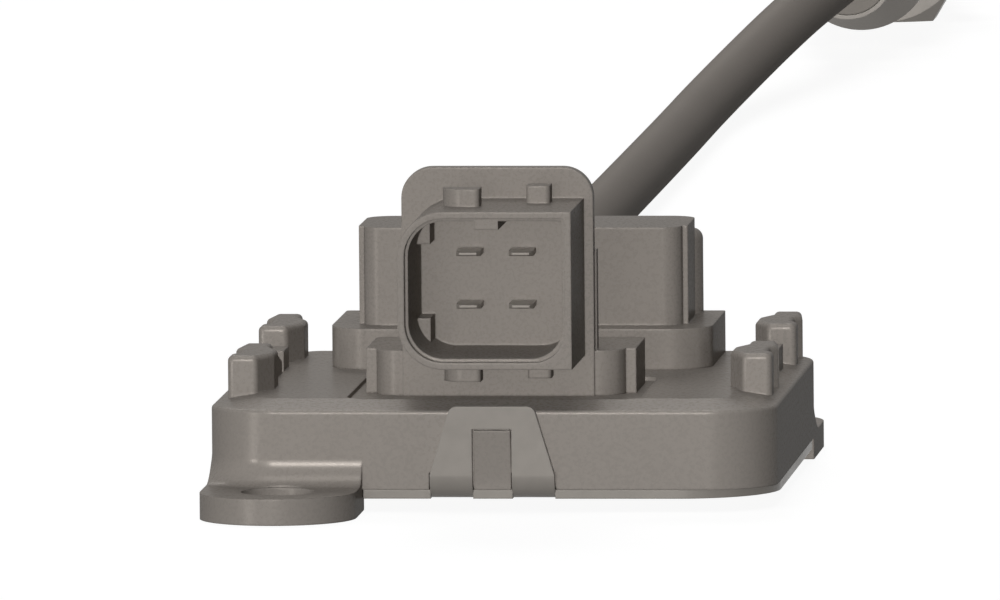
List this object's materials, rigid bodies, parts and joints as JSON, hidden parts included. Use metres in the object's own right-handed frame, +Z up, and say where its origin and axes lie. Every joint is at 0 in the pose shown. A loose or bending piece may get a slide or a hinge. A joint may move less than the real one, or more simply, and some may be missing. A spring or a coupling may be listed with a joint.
{
  "type": "nitrogen oxide sensor",
  "caption": "Exhaust gas sensor: flat electronics module with bolting ears, keyed plug socket and cable tower, joined by a cable to a threaded hexagonal gas probe.",
  "frame": {"origin": "midpoint between the two ear holes, on the ears' underside", "axes": "+Z up out of the mounting surface, +Y from the plug socket towards the probe, +X to the right seen from the plug side"},
  "size_m": [0.0646, 0.7319, 0.0381],
  "materials": {
    "housing_plastic": "fine-grained moulding, warm grey",
    "header_plastic": "fine-grained moulding, warm grey",
    "plate_metal": "rolled sheet, dull",
    "seal_rubber": "cured bead, dull",
    "boot_rubber": "moulded rubber, dull",
    "gland_metal": "nickel plated, satin",
    "wire_insulation": "smooth insulation",
    "board_laminate": "green coated laminate",
    "fastener_steel": "zinc plated",
    "chip_black": "moulded package",
    "can_metal": "drawn can",
    "coil_ferrite": "sintered ferrite",
    "terminal_metal": "tinned, satin",
    "cable_sheath": "smooth sheath with a fine woven sleeve",
    "probe_steel": "turned and drawn stainless steel",
    "washer_metal": "pressed ring",
    "core_ceramic": "sintered, unglazed",
    "core_talc": "pressed powder"
  },
  "bodies": {
    "root": {"module_housing": "housing_plastic", "base_plate": "plate_metal", "plate_seal": "seal_rubber", "connector_header": "header_plastic", "header_seal": "seal_rubber", "cable_tower": "header_plastic", "tower_seal": "seal_rubber", "gland_body": "gland_metal", "gland_nut": "gland_metal", "strain_relief": "boot_rubber", "module_wires": "wire_insulation", "circuit_board": "board_laminate", "board_screws": "fastener_steel", "controller_chip": "chip_black", "driver_chip": "chip_black", "capacitors": "can_metal", "power_coil": "coil_ferrite", "thermal_pad": "seal_rubber", "blade_terminal_1": "terminal_metal", "blade_terminal_2": "terminal_metal", "blade_terminal_3": "terminal_metal", "blade_terminal_4": "terminal_metal", "sensor_cable": "cable_sheath", "probe_shell": "probe_steel", "probe_grommet": "boot_rubber", "probe_wires": "wire_insulation", "contact_springs": "terminal_metal", "rear_ceramic": "core_ceramic", "talc_packing": "core_talc", "front_ceramic": "core_ceramic", "sensing_element": "core_ceramic", "hex_fitting": "probe_steel", "sealing_washer": "washer_metal", "outer_tip_tube": "probe_steel", "inner_tip_tube": "probe_steel"}
  },
  "joints": []
}
